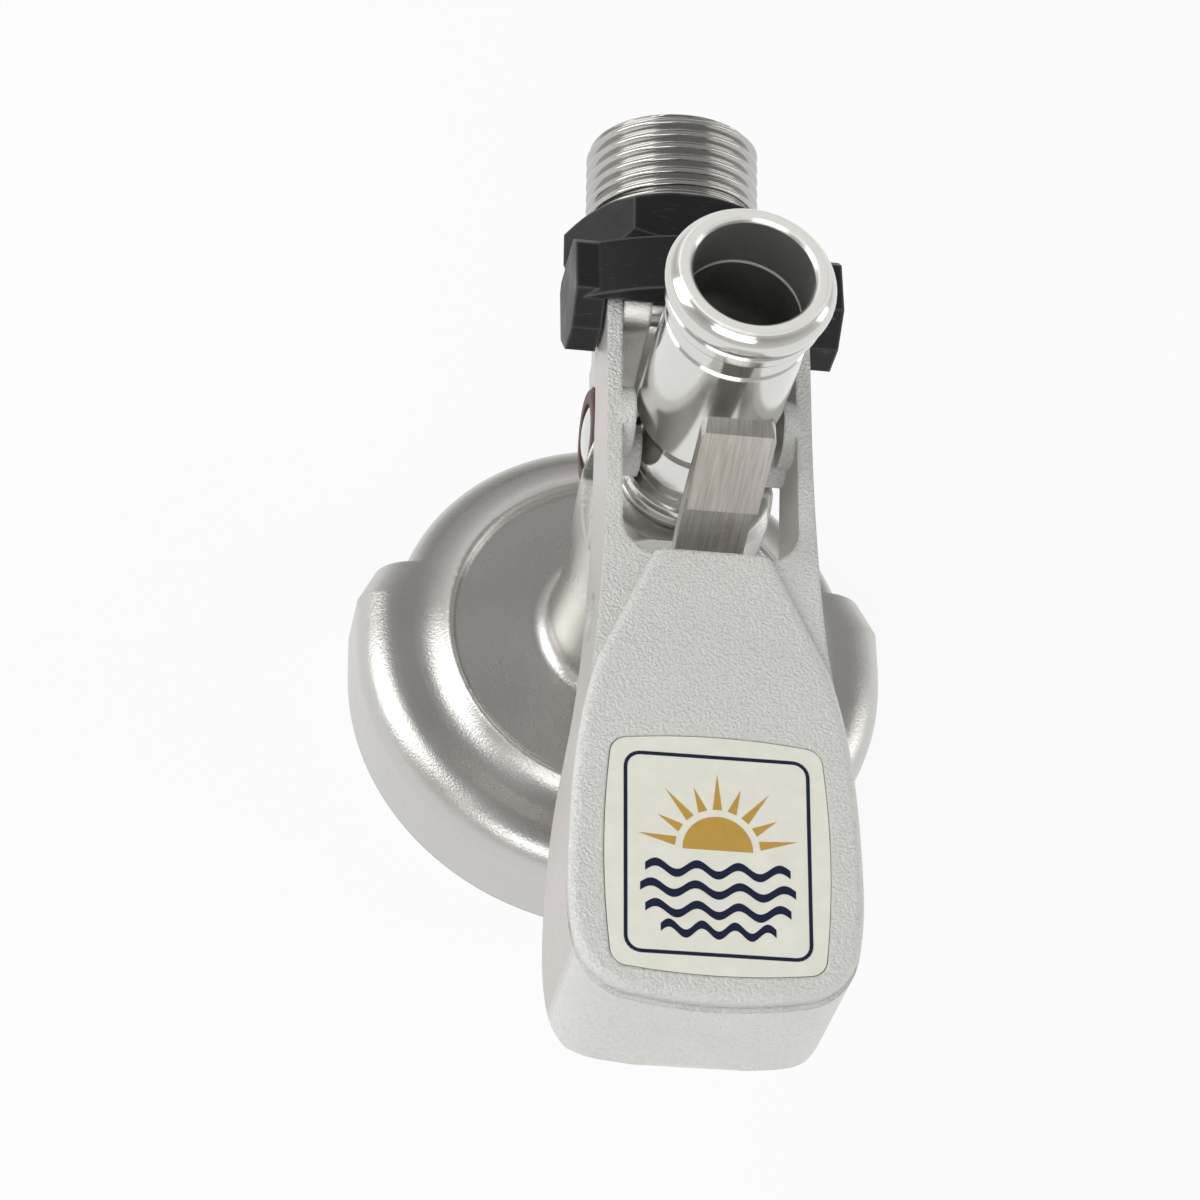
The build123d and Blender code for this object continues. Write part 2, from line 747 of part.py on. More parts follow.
# Beer check ball on its seat, held by a cross wire above it
with BuildPart() as ball_seat:
    with BuildSketch(Plane.XZ):
        with BuildLine():
            seat_out = line_r - seat_play
            seat_in = line_r - 0.7
            cone_z = ball_seat_z + 1.6
            Polyline(
                (seat_out, ball_seat_z),
                (seat_out, ball_seat_z + ball_seat_height),
                (seat_in, ball_seat_z + ball_seat_height),
                (seat_in, cone_z + seat_in - ball_way_r),
                (ball_way_r, cone_z),
                (ball_way_r, ball_seat_z),
                (seat_out, ball_seat_z),
            )
        make_face()
    revolve(axis=Axis.Z)
save(ball_seat, "ball_seat")

with BuildPart() as check_ball:
    ball_z = cone_z + sqrt(ball_r**2 - ball_way_r**2) + running_fit
    with Locations((0, 0, ball_z)):
        Sphere(ball_r)
save(check_ball, "check_ball")

with BuildPart() as ball_stop:
    with BuildSketch(Plane.XY.offset(stop_z)):
        Circle(stop_r - seat_play)
        Circle(stop_r - seat_play - stop_wall, mode=Mode.SUBTRACT)
        Rectangle(2 * (stop_r - stop_wall), stop_bar)
        Rectangle(stop_bar, 2 * (stop_r - stop_wall))
    extrude(amount=stop_thick)
save(ball_stop, "ball_stop")


# Lever casting
def badge_outline(play):
    """Outline of the badge in the lever's top plane, drawn into the open line; play makes it smaller."""
    x, y = badge_half_x - play, badge_half_y - play
    mid = badge_y - pivot_y
    ThreePointArc((-x, mid - y), (0, mid - y - badge_bulge), (x, mid - y))
    ThreePointArc((x, mid - y), (x + badge_bulge, mid), (x, mid + y))
    ThreePointArc((x, mid + y), (0, mid + y + badge_bulge), (-x, mid + y))
    ThreePointArc((-x, mid + y), (-x - badge_bulge, mid), (-x, mid - y))


def paddle_side(sign):
    """Side edge of the lever seen from above, from the eye to the nose."""
    return [
        (sign * arm_half, pivot_y + eye_r + 1),
        (sign * arm_half, -4),
        (sign * (arm_half + 0.5), -22),
        (sign * (arm_half + 1.5), -34),
        (sign * (paddle_half - 1.0), -48),
        (sign * paddle_half, -61),
        (sign * (paddle_half - 0.7), nose_y + 7),
    ]


top_plane = Plane(
    origin=(0, pivot_y, lever_top(pivot_y)),
    x_dir=(1, 0, 0),
    z_dir=(0, -sin(radians(lever_slope)), cos(radians(lever_slope))),
)
arm_plane = top_plane.offset(-arm_drop)

# Paddle top and fairing with a bevelled edge
with BuildPart() as paddle_pad:
    with BuildSketch(arm_plane) as pad_plan:
        with BuildLine():
            pad_front = nose_y - pivot_y
            pad_back = window_front - pivot_y - 0.4
            side = [
                (paddle_half - 3.6, -36 - pivot_y),
                (paddle_half - 1.2, -46 - pivot_y),
                (paddle_half, -61 - pivot_y),
                (paddle_half - 0.7, nose_y + 7 - pivot_y),
            ]
            other = [(-x, y) for x, y in side]
            Line((7.2, pad_back), side[0])
            Spline(*side, tangents=[(0.35, -1), (-0.25, -1)])
            RadiusArc(side[-1], (paddle_half - 7.5, pad_front + 0.9), 8.0)
            ThreePointArc((paddle_half - 7.5, pad_front + 0.9), (0, pad_front), (7.5 - paddle_half, pad_front + 0.9))
            RadiusArc((7.5 - paddle_half, pad_front + 0.9), other[-1], 8.0)
            Spline(*reversed(other), tangents=[(-0.25, 1), (0.35, 1)])
            Line(other[0], (-7.2, pad_back))
            Line((-7.2, pad_back), (7.2, pad_back))
        make_face()
    extrude(amount=arm_drop)
    pad_top = paddle_pad.faces().sort_by(Axis((0, 0, 0), top_plane.z_dir))[-1]
    fillet(pad_top.edges().sort_by(Axis.Y)[:-1], radius=arm_drop * 0.75)

# Room under the paddle's top plate
with BuildPart() as paddle_hollow:
    with BuildSketch(top_plane.offset(-plate_thick)):
        with BuildLine():
            wide = paddle_half - wall_thick
            back_y = window_front + 6 - pivot_y
            front_y = nose_y - pivot_y
            Line((arm_inner, back_y), (-arm_inner, back_y))
            Line((-arm_inner, back_y), (-arm_inner, -32 - pivot_y))
            Spline(
                (-arm_inner, -32 - pivot_y),
                (-wide + 0.9, -49 - pivot_y),
                (-wide, front_y + 12),
                tangents=[(0, -1), (0, -1)],
            )
            ThreePointArc(
                (-wide, front_y + 12), (-wide + 2.6, front_y + 5.6), (-wide + 9, front_y + wall_thick + 0.6)
            )
            Line((-wide + 9, front_y + wall_thick + 0.6), (wide - 9, front_y + wall_thick + 0.6))
            ThreePointArc(
                (wide - 9, front_y + wall_thick + 0.6), (wide - 2.6, front_y + 5.6), (wide, front_y + 12)
            )
            Spline(
                (wide, front_y + 12),
                (wide - 0.9, -49 - pivot_y),
                (arm_inner, -32 - pivot_y),
                tangents=[(0, 1), (0, 1)],
            )
            Line((arm_inner, -32 - pivot_y), (arm_inner, back_y))
        make_face()
    extrude(amount=-45)

with BuildPart() as lever:
    # Seen from above
    with BuildSketch(Plane.XY.offset(40)) as lever_plan:
        with BuildLine():
            left, right = paddle_side(-1), paddle_side(1)
            Line(left[0], right[0])
            Line(right[0], right[1])
            Spline(*right[1:], tangents=[(0, -1), (-0.25, -1)])
            RadiusArc(right[-1], (paddle_half - 7.5, nose_y + 0.9), 8.0)
            ThreePointArc((paddle_half - 7.5, nose_y + 0.9), (0, nose_y), (7.5 - paddle_half, nose_y + 0.9))
            RadiusArc((7.5 - paddle_half, nose_y + 0.9), left[-1], 8.0)
            Spline(*reversed(left[1:]), tangents=[(-0.25, 1), (0, 1)])
            Line(left[1], left[0])
        make_face()
    extrude(amount=50)
    # Seen from the side
    with BuildSketch(Plane.YZ) as lever_side:
        with BuildLine():
            Polyline(
                (pivot_y, pivot_z - eye_r),
                *lower_edge,
                (nose_y + 0.4, lower_edge[-1][1] + 2.0),
                (nose_y - 1, lower_edge[-1][1] + 8),
                (nose_y - 1, lever_top(nose_y - 1) - arm_drop),
                (pivot_y, lever_top(pivot_y) - arm_drop),
                (pivot_y, pivot_z - eye_r),
            )
        make_face()
        with Locations((pivot_y, pivot_z)):
            Circle(eye_r)
    extrude(amount=paddle_half + 2, both=True, mode=Mode.INTERSECT)
    add(paddle_pad.part)
    add(paddle_hollow.part, mode=Mode.SUBTRACT)
    # Window between the arms
    with BuildSketch(Plane.XY.offset(40)) as window:
        back = pivot_y + eye_r + 3
        with Locations((0, (back + window_front) / 2)):
            RectangleRounded(2 * arm_inner, back - window_front, window_corner)
        with Locations((0, back - 3)):
            Rectangle(2 * arm_inner, 8)
    extrude(amount=50, mode=Mode.SUBTRACT)
    # Lugs that drive the probe
    for side in (-1, 1):
        with BuildSketch(Plane.YZ.offset(side * waist_x)):
            with Locations((lug_y, lug_z)):
                Circle(lug_r)
        extrude(amount=side * (arm_inner + 0.5 - waist_x))
    # Pads over the lugs
    for side in (-1, 1):
        with BuildSketch(Plane.YZ.offset(side * (tube_r + pad_gap))):
            with Locations((pad_y, pad_z)):
                Circle(pad_r)
        extrude(amount=side * (arm_inner + 0.5 - tube_r - pad_gap))
    # Eyes for the hinge pin and bores for the latch pin
    with BuildSketch(Plane.YZ.offset(-arm_half - 1)):
        with Locations((pivot_y, pivot_z)):
            Circle(pin_r + running_fit)
    extrude(amount=2 * arm_half + 2, mode=Mode.SUBTRACT)
    with BuildSketch(Plane.YZ.offset(-paddle_half)):
        with Locations((latch_pin_y, latch_pin_z)):
            Circle(latch_pin_r + press_play)
    extrude(amount=2 * paddle_half, mode=Mode.SUBTRACT)
    for side in (-1, 1):
        with BuildSketch(Plane.YZ.offset(side * (arm_half - 0.4))):
            with Locations((latch_pin_y, latch_pin_z)):
                Circle(latch_head_r)
        extrude(amount=side * 4, mode=Mode.SUBTRACT)
    # Recess for the badge
    with BuildSketch(top_plane) as badge_recess:
        with BuildLine():
            badge_outline(0)
        make_face()
        fillet(badge_recess.vertices(), radius=badge_corner)
    extrude(amount=-badge_depth, mode=Mode.SUBTRACT)
save(lever, "lever")

# Badge plate, a flat plate in the recess
with BuildPart() as badge_plate:
    with BuildSketch(top_plane.offset(-badge_depth)) as badge_face:
        with BuildLine():
            badge_outline(seat_play)
        make_face()
        fillet(badge_face.vertices(), radius=badge_corner - seat_play)
    extrude(amount=badge_depth)
save(badge_plate, "badge_plate")


# Latch: a curved thumb blade over a boss on the latch pin, with a hooked toe below
def up_pose(y, z):
    """A place given with the lever down, moved to where it lies with the lever up."""
    return turned(y, z, -lever_close)


keeper_tip = -column_r - keeper_out
toe_top = keeper_low - latch_play
blade_tip = (latch_pin_y + 10.6, latch_pin_z + 26.1)
with BuildPart() as latch:
    with BuildSketch(Plane.YZ) as latch_side:
        with BuildLine():
            Polyline(
                up_pose(keeper_tip - latch_play, toe_top),
                up_pose(keeper_tip + toe_grip, toe_top),
                up_pose(keeper_tip + toe_grip - 0.8, toe_top - 2.6),
                up_pose(keeper_tip - latch_play - 0.8, toe_top - 3.4),
                up_pose(keeper_tip - latch_play - 3.6, toe_top - 1.6),
                (latch_pin_y - latch_boss_r, latch_pin_z),
            )
            ThreePointArc(
                (latch_pin_y - latch_boss_r, latch_pin_z),
                (latch_pin_y - latch_boss_r * 0.7, latch_pin_z + latch_boss_r * 0.7),
                (latch_pin_y, latch_pin_z + latch_boss_r),
            )
            Spline(
                (latch_pin_y, latch_pin_z + latch_boss_r),
                (latch_pin_y + 4.6, latch_pin_z + 4.1),
                (latch_pin_y + 6.8, latch_pin_z + 6.8),
                (latch_pin_y + 8.2, latch_pin_z + 15.5),
                blade_tip,
                tangents=[(1.0, 0), (0.3, 1.0)],
            )
            Line(blade_tip, (blade_tip[0] + blade_thick, blade_tip[1] + 0.3))
            Spline(
                (blade_tip[0] + blade_thick, blade_tip[1] + 0.3),
                (latch_pin_y + 11.0, latch_pin_z + 16.1),
                (latch_pin_y + 9.4, latch_pin_z + 7.6),
                (latch_pin_y + 7.2, latch_pin_z + 2.6),
                (latch_pin_y + 3.4, latch_pin_z - 2.4),
                tangents=[(-0.3, -1), (-0.75, -1)],
            )
            Polyline(
                (latch_pin_y + 3.4, latch_pin_z - 2.4),
                up_pose(keeper_tip - latch_play, keeper_high + 1.2),
                up_pose(keeper_tip - latch_play, toe_top),
            )
        make_face()
    extrude(amount=latch_half, both=True)
    # Seen from the front the blade widens a little to its rounded tip
    with BuildSketch(Plane.XZ.offset(-pivot_y)) as latch_front:
        with BuildLine():
            shoulder_z = latch_pin_z + latch_boss_r + 1
            tip_z = blade_tip[1] + 0.4
            Polyline(
                (-latch_half, tip_z - tip_round),
                (-latch_waist, shoulder_z),
                (-latch_waist, 0),
                (latch_waist, 0),
                (latch_waist, shoulder_z),
                (latch_half, tip_z - tip_round),
            )
            RadiusArc((latch_half, tip_z - tip_round), (latch_half - tip_round, tip_z), -tip_round)
            Line((latch_half - tip_round, tip_z), (tip_round - latch_half, tip_z))
            RadiusArc((tip_round - latch_half, tip_z), (-latch_half, tip_z - tip_round), -tip_round)
        make_face()
    extrude(amount=column_top, mode=Mode.INTERSECT)
    with BuildSketch(Plane.YZ.offset(-latch_half - 1)):
        with Locations((latch_pin_y, latch_pin_z)):
            Circle(latch_pin_r + running_fit)
    extrude(amount=2 * latch_half + 2, mode=Mode.SUBTRACT)
save(latch, "latch")

# Latch pin between the lever's side walls
with BuildPart() as latch_pin:
    pin_reach = arm_half - 0.4
    with BuildSketch(Plane.YZ.offset(-pin_reach)):
        with Locations((latch_pin_y, latch_pin_z)):
            Circle(latch_pin_r)
    extrude(amount=2 * pin_reach)
save(latch_pin, "latch_pin")

# Sleeve on the latch pin that keeps the latch in the middle
with BuildPart() as latch_spacer:
    spacer_start = latch_waist + side_play
    with BuildSketch(Plane.YZ.offset(spacer_start)):
        with Locations((latch_pin_y, latch_pin_z)):
            Circle(spacer_r)
            Circle(latch_pin_r + seat_play, mode=Mode.SUBTRACT)
    extrude(amount=arm_inner - seat_play - spacer_start)
save(latch_spacer, "latch_spacer")

# Wound spring on the other side of the latch: one leg under the paddle, one hooked round the toe
with BuildPart() as latch_spring:
    coil_r = latch_pin_r + side_play + spring_wire
    coil_start = -latch_waist - side_play - spring_wire
    with BuildLine() as coil:
        Helix(
            pitch=spring_pitch,
            height=spring_pitch * spring_turns,
            radius=coil_r,
            center=(coil_start, latch_pin_y, latch_pin_z),
            direction=(-1, 0, 0),
        )
    coil_path = coil.edge()
    with BuildSketch(Plane(origin=coil_path @ 0, z_dir=coil_path % 0)):
        Circle(spring_wire)
    sweep(path=coil_path)
    toe_corner = Vector(coil_start, latch_pin_y - 5.85, latch_pin_z - 4.3)
    legs = (
        (coil_path @ 0, toe_corner),
        (toe_corner, toe_corner + Vector(2.9, 0, 0)),
        (coil_path @ 1, coil_path @ 1 + Vector(0, -8.2, 0.15)),
    )
    for leg_start, leg_end in legs:
        with BuildSketch(Plane(origin=leg_start, z_dir=leg_end - leg_start)):
            Circle(spring_wire)
        extrude(amount=(leg_end - leg_start).length)
        with Locations(leg_end):
            Sphere(spring_wire)
save(latch_spring, "latch_spring")
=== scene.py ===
import json
from math import cos, pi, radians, sin, sqrt, tau

import bmesh
import bpy
from mathutils import Matrix, Vector


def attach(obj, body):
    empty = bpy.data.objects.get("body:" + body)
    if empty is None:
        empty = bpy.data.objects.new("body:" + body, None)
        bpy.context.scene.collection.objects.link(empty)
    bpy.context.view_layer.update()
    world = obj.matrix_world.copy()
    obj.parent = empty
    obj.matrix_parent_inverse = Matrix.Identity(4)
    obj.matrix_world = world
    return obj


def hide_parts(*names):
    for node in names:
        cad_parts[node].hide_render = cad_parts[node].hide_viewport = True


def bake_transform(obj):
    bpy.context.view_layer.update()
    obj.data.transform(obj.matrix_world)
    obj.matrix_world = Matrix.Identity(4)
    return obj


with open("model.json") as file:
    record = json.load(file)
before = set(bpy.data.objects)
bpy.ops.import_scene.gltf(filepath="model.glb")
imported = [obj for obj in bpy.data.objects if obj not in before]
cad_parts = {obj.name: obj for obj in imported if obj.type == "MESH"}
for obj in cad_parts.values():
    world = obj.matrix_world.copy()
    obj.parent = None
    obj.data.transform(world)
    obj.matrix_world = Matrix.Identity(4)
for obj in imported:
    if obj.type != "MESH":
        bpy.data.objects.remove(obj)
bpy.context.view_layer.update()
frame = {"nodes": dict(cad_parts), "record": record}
nodes = frame["nodes"]
MM = 0.001

# Camera, fitted to the outlines in the photograph
LENS = 115.9
AIM = Vector((-5.3, 0, 25.06)) * MM
DISTANCE = 516.1 * MM
AZIMUTH = radians(16.57)
ELEVATION = radians(57.24)
ROLL = radians(18.42)
CLIP_START = 10 * MM

# Gas port, as in the solids
PORT_TILT = radians(80.2)
PORT_FOOT = Vector((0, 0, 46.7)) * MM
PORT_DIR = Vector((0, sin(PORT_TILT), cos(PORT_TILT)))
PORT_DOWN = Vector((0, cos(PORT_TILT), -sin(PORT_TILT)))
SPIGOT_START, SPIGOT_R, SPIGOT_BORE_R = 21.8 * MM, 7.2 * MM, 4.8 * MM
COLLAR_START, COLLAR_R = 33.6 * MM, 11.055 * MM
THREAD_START, THREAD_END = 40.4 * MM, 53.1 * MM
THREAD_R, THREAD_PITCH, THREAD_DEPTH = 11.455 * MM, 1.814 * MM, 1.0 * MM
THREAD_CHAMFER = 0.9 * MM
VALVE_START, UNION_BORE_R = 35.1 * MM, 8.0 * MM
MESH_AROUND, MESH_PER_PITCH = 192, 18
SHARP_ANGLE = radians(62)

# Socket of the probe: its radius, and the heights of its foot, the seat ring and the top face, where a highlight is
# painted
BORE_R = 7.37 * MM
BORE_FOOT, SEAT_RING, FACE_FOOT = 81.0 * MM, 92.8 * MM, 100.7 * MM

# Badge, in the plane of the lever's top
TOP_SLOPE = radians(6.0)
TOP_FOOT = Vector((0, 16.0, 77.0)) * MM
BADGE_MIDDLE = -77.0 * MM
PRINT_THICK = 0.03 * MM

# Print on the badge, in millimetres from the badge's middle
SUN, SUN_R, SUN_STEPS = (0, 0.6), 4.2, 28
RAYS, RAY_FOOT, RAY_HALF_ANGLE = 9, 5.1, 0.11
LONG_RAY, SHORT_RAY = 9.6, 8.2
WAVES = ((-1.9, 8.6), (-4.4, 9.2), (-6.9, 8.6), (-9.3, 6.8))
WAVE_HALF_THICK, WAVE_RISE, WAVE_CRESTS, WAVE_STEPS = 0.5, 0.62, 3.5, 60
FRAME_X, FRAME_Y, FRAME_CORNER, FRAME_WIDTH, FRAME_STEPS = 10.9, 12.3, 1.8, 0.45, 6

# Floor, lamps and sky
FLOOR_SIZE, FLOOR_GREY, FLOOR_GLOW = 6, 0.88, 0.9
LAMP_TARGET = (0, 0, 0.02)
LAMPS = (
    ("left_box", (-0.85, 0.15, 0.6), (0.5, 0.9), 4.8),
    ("front_box", (-0.25, -0.85, 0.75), (0.9, 0.35), 3.2),
    ("right_box", (0.9, 0.1, 0.5), (0.25, 0.8), 1.5),
)
SKY_COLOR = (1, 0.99, 0.97, 1)
SKY = {"From Min": 0.15, "From Max": 0.8, "To Min": 0.68, "To Max": 0.36}


class Shader:
    """A material and short calls to add and join its nodes."""

    def __init__(self, name, color, metallic, roughness, **sockets):
        self.material = bpy.data.materials.new(name)
        self.material.use_nodes = True
        self.tree = self.material.node_tree
        self.main = self.tree.nodes["Principled BSDF"]
        self.set(self.main, {"Base Color": (*color, 1), "Metallic": metallic, "Roughness": roughness})
        self.set(self.main, sockets)
        self.place = self.add("ShaderNodeTexCoord").outputs["Object"]

    def set(self, node, values):
        for key, value in values.items():
            if isinstance(value, bpy.types.NodeSocket):
                self.tree.links.new(value, node.inputs[key])
            else:
                node.inputs[key].default_value = value

    def add(self, kind, values=None, **settings):
        node = self.tree.nodes.new(kind)
        for key, value in settings.items():
            setattr(node, key, value)
        self.set(node, values or {})
        return node

    def moved(self, vector, scale=(1, 1, 1), rotation=(0, 0, 0), location=(0, 0, 0)):
        made = self.add("ShaderNodeMapping", {
            "Vector": vector, "Scale": scale, "Rotation": rotation, "Location": location,
        })
        return made.outputs["Vector"]

    def noise(self, vector, scale, detail=2.0, rough=0.5):
        made = self.add("ShaderNodeTexNoise", {
            "Vector": vector, "Scale": scale, "Detail": detail, "Roughness": rough,
        })
        return made.outputs["Fac"]

    def ranged(self, value, low_in, high_in, low_out, high_out):
        made = self.add("ShaderNodeMapRange", {
            "Value": value, "From Min": low_in, "From Max": high_in, "To Min": low_out, "To Max": high_out,
        })
        return made.outputs["Result"]

    def mixed(self, share, first, second):
        made = self.add("ShaderNodeMix", data_type="RGBA")
        for index, value in ((0, share), (6, first), (7, second)):
            if isinstance(value, bpy.types.NodeSocket):
                self.tree.links.new(value, made.inputs[index])
            else:
                made.inputs[index].default_value = value if index == 0 else (*value, 1)
        return made.outputs[2]

    def maths(self, operation, first, second=0.0):
        made = self.add("ShaderNodeMath", operation=operation)
        self.set(made, {0: first, 1: second})
        return made.outputs[0]

    def bump(self, height, strength, distance, normal=None):
        values = {"Height": height, "Strength": strength, "Distance": distance}
        if normal is not None:
            values["Normal"] = normal
        return self.add("ShaderNodeBump", values).outputs["Normal"]

    def rounded(self, radius, samples=4):
        """The surface's normal, with its edges rounded off by this radius."""
        return self.add("ShaderNodeBevel", {"Radius": radius}, samples=samples).outputs["Normal"]

    def edges(self, radius, low, high):
        """A mask of worn edges: 1 on an edge, 0 on a face."""
        flat = self.add("ShaderNodeNewGeometry").outputs["Normal"]
        turn = self.add("ShaderNodeVectorMath", {0: self.rounded(radius, 6), 1: flat}, operation="DOT_PRODUCT")
        return self.ranged(turn.outputs["Value"], high, low, 0, 1)


def blasted_steel(name, color, metallic, roughness, grain, depth, milled=None):
    """Cast stainless steel with the dimples of a blasted skin; faces square to X may be milled smooth."""
    s = Shader(name, color, metallic, roughness)
    fine = s.noise(s.place, grain, 3, 0.6)
    cloud = s.noise(s.place, 70, 4, 0.55)
    tint = s.mixed(s.ranged(cloud, 0.3, 0.7, 0, 1), [c * 0.94 for c in color], color)
    # Painted shade: the colour is darkened in the pits of the blasted dimples, where the bump is low.
    pit_shade = s.ranged(fine, 0.32, 0.5, 0.35 * depth, 0)
    tint = s.mixed(pit_shade, tint, [c * 0.55 for c in color])
    rough = s.ranged(cloud, 0.3, 0.7, roughness - 0.05, roughness + 0.06)
    strength = depth
    if milled:
        facing = s.add("ShaderNodeSeparateXYZ", {0: s.add("ShaderNodeNewGeometry").outputs["Normal"]})
        flat = s.ranged(s.maths("ABSOLUTE", facing.outputs["X"]), 0.93, 0.98, 0, 1)
        lines = s.noise(s.moved(s.place, (900, 900, 5200), (0.35, 0, 0)), 1.0, 3, 0.6)
        worked = s.mixed(s.ranged(lines, 0.3, 0.7, 0, 1), [c * 0.9 for c in milled], milled)
        tint = s.mixed(flat, tint, worked)
        strength = s.ranged(flat, 0, 1, depth, depth * 0.12)
    skin = s.bump(fine, strength, 0.45 * MM, s.rounded(0.6 * MM))
    s.set(s.main, {"Roughness": rough, "Base Color": tint, "Normal": skin})
    return s.material


def round_place(s, vector):
    """Coordinates that are the same all round the Z axis: radius and height."""
    parts = s.add("ShaderNodeSeparateXYZ", {0: vector})
    flat = s.add("ShaderNodeCombineXYZ", {"X": parts.outputs["X"], "Y": parts.outputs["Y"]})
    radius = s.add("ShaderNodeVectorMath", {0: flat.outputs[0]}, operation="LENGTH")
    return s.add("ShaderNodeCombineXYZ", {"X": radius.outputs["Value"], "Y": parts.outputs["Z"]}).outputs[0]


def turned_steel(name, color, roughness, lines, depth):
    """Steel turned on a lathe, with fine rings of tool marks, a painted highlight on the top face and seat ring, and
    a duller bore with painted shade, darker below the seat ring.
    """
    s = Shader(name, color, 1.0, roughness)
    turning = round_place(s, s.place)
    rings = s.noise(turning, lines, 3, 0.7)
    smear = s.noise(s.place, 160, 3, 0.5)
    parts = s.add("ShaderNodeSeparateXYZ", {0: turning})
    narrow = s.ranged(parts.outputs["X"], BORE_R + 0.1 * MM, BORE_R + 0.25 * MM, 1, 0)
    inside = s.maths("MULTIPLY", narrow, s.ranged(parts.outputs["Y"], BORE_FOOT - 2 * MM, BORE_FOOT, 0, 1))
    under = s.ranged(parts.outputs["Y"], SEAT_RING - 0.2 * MM, SEAT_RING, 1, 0)
    away = s.maths("ABSOLUTE", s.maths("SUBTRACT", parts.outputs["Y"], SEAT_RING))
    ring = s.maths("MULTIPLY", s.ranged(away, 0.2 * MM, 0.34 * MM, 1, 0), inside)
    # Painted shade: the bore's wall is darkened in colour, more below the seat ring than above it.
    bore_shade = s.mixed(under, [c * 0.7 for c in color], [c * 0.5 for c in color])
    faced = s.ranged(parts.outputs["Y"], FACE_FOOT, FACE_FOOT + 0.1 * MM, 0, 1)
    # Painted highlight: the top face and a thin band at the seat ring are lightened nearly to white and made less
    # metallic.
    highlight_color = [min(1, c * 1.3) for c in color]
    shade = s.mixed(faced, s.mixed(ring, s.mixed(inside, color, bore_shade), highlight_color), highlight_color)
    rough = s.ranged(smear, 0.3, 0.7, roughness - 0.03, roughness + 0.05)
    softer = s.maths("MULTIPLY", inside, 0.2)
    less_metal_share = s.maths("MAXIMUM", s.maths("MAXIMUM", faced, ring), softer)
    s.set(s.main, {
        "Base Color": shade,
        "Metallic": s.ranged(less_metal_share, 0, 1, 1, 0.15),
        "Roughness": s.maths("ADD", rough, softer),
        "Normal": s.bump(rings, depth, 0.03 * MM, s.rounded(0.3 * MM)),
    })
    return s.material


def black_plastic(name):
    """Moulded plastic with light scuffs and worn edges."""
    s = Shader(name, (0.018, 0.018, 0.02), 0.0, 0.42, **{"Specular IOR Level": 0.32})
    cloud = s.noise(s.place, 260, 4, 0.6)
    hairs = s.noise(s.moved(s.place, (350, 5200, 900), (0.4, 0.2, 0.7)), 1.0, 2, 0.5)
    worn = s.edges(0.6 * MM, 0.9, 0.995)
    shade = s.mixed(s.ranged(hairs, 0.66, 0.72, 0, 0.5), (0.010, 0.010, 0.011), (0.08, 0.08, 0.085))
    s.set(s.main, {
        "Base Color": s.mixed(s.maths("MULTIPLY", worn, 0.55), shade, (0.17, 0.17, 0.18)),
        "Roughness": s.ranged(cloud, 0.3, 0.7, 0.36, 0.52),
        "Normal": s.bump(cloud, 0.12, 0.1 * MM, s.rounded(0.5 * MM)),
    })
    return s.material


def plain(name, color, roughness, grain, depth, metallic=0.0, **sockets):
    """Rubber, plastic or drawn wire with a slight unevenness."""
    s = Shader(name, color, metallic, roughness, **sockets)
    uneven = s.noise(s.place, grain, 3, 0.5)
    s.set(s.main, {
        "Base Color": s.mixed(uneven, [c * 0.9 for c in color], [min(1, c * 1.06) for c in color]),
        "Normal": s.bump(uneven, depth, 0.05 * MM),
    })
    return s.material


def latch_steel(name):
    """Ground steel with streaks along the blade."""
    s = Shader(name, (0.60, 0.57, 0.54), 1.0, 0.33)
    streaks = s.noise(s.moved(s.place, (4200, 260, 120)), 1.0, 4, 0.65)
    patch = s.noise(s.place, 220, 4, 0.6)
    s.set(s.main, {
        "Roughness": s.ranged(patch, 0.3, 0.7, 0.26, 0.42),
        "Base Color": s.mixed(s.ranged(streaks, 0.35, 0.65, 0, 1), (0.50, 0.47, 0.44), (0.68, 0.65, 0.62)),
        "Normal": s.bump(streaks, 0.25, 0.04 * MM),
    })
    return s.material


MATERIALS = {
    "cast_steel": blasted_steel("cast_steel", (0.60, 0.59, 0.565), 1.0, 0.27, 3000, 0.15),
    "lever_steel": blasted_steel(
        "lever_steel", (0.80, 0.80, 0.775), 0.5, 0.42, 2600, 0.8, milled=(0.60, 0.575, 0.55)
    ),
    "turned_steel": turned_steel("turned_steel", (0.70, 0.695, 0.665), 0.12, 9000, 0.1),
    "thread_steel": plain("thread_steel", (0.52, 0.51, 0.49), 0.2, 120, 0.004, 1.0),
    "latch_steel": latch_steel("latch_steel"),
    "pin_steel": plain("pin_steel", (0.70, 0.69, 0.68), 0.25, 900, 0.1, 1.0),
    "spring_steel": plain("spring_steel", (0.42, 0.42, 0.42), 0.35, 900, 0.1, 1.0),
    "black_plastic": black_plastic("black_plastic"),
    "badge_plate": plain(
        "badge_cream", (0.86, 0.855, 0.76), 0.14, 400, 0.02, 0.0, **{"Coat Weight": 0.3, "Coat Roughness": 0.04}
    ),
    "seal_rubber": plain("seal_rubber", (0.02, 0.02, 0.02), 0.55, 1500, 0.3),
    "white_plastic": plain("white_plastic", (0.74, 0.73, 0.68), 0.4, 800, 0.1),
}
RING_RUBBER = plain("ring_rubber", (0.075, 0.03, 0.026), 0.5, 1500, 0.3)
for row in frame["record"]["subparts"]:
    finish = RING_RUBBER if row["node"] == "plug_washer" else MATERIALS[row["material_slot"]]
    node = nodes[row["node"]]
    node.data.materials.clear()
    node.data.materials.append(finish)


def mesh_piece(name, bm, material, body, smooth=True):
    """Turn a bmesh into a piece that rides on a body."""
    bmesh.ops.recalc_face_normals(bm, faces=bm.faces)
    mesh = bpy.data.meshes.new(name)
    bm.to_mesh(mesh)
    bm.free()
    mesh.materials.append(material)
    for face in mesh.polygons:
        face.use_smooth = smooth
    piece = bpy.data.objects.new(name, mesh)
    bpy.context.scene.collection.objects.link(piece)
    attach(piece, body)
    return piece


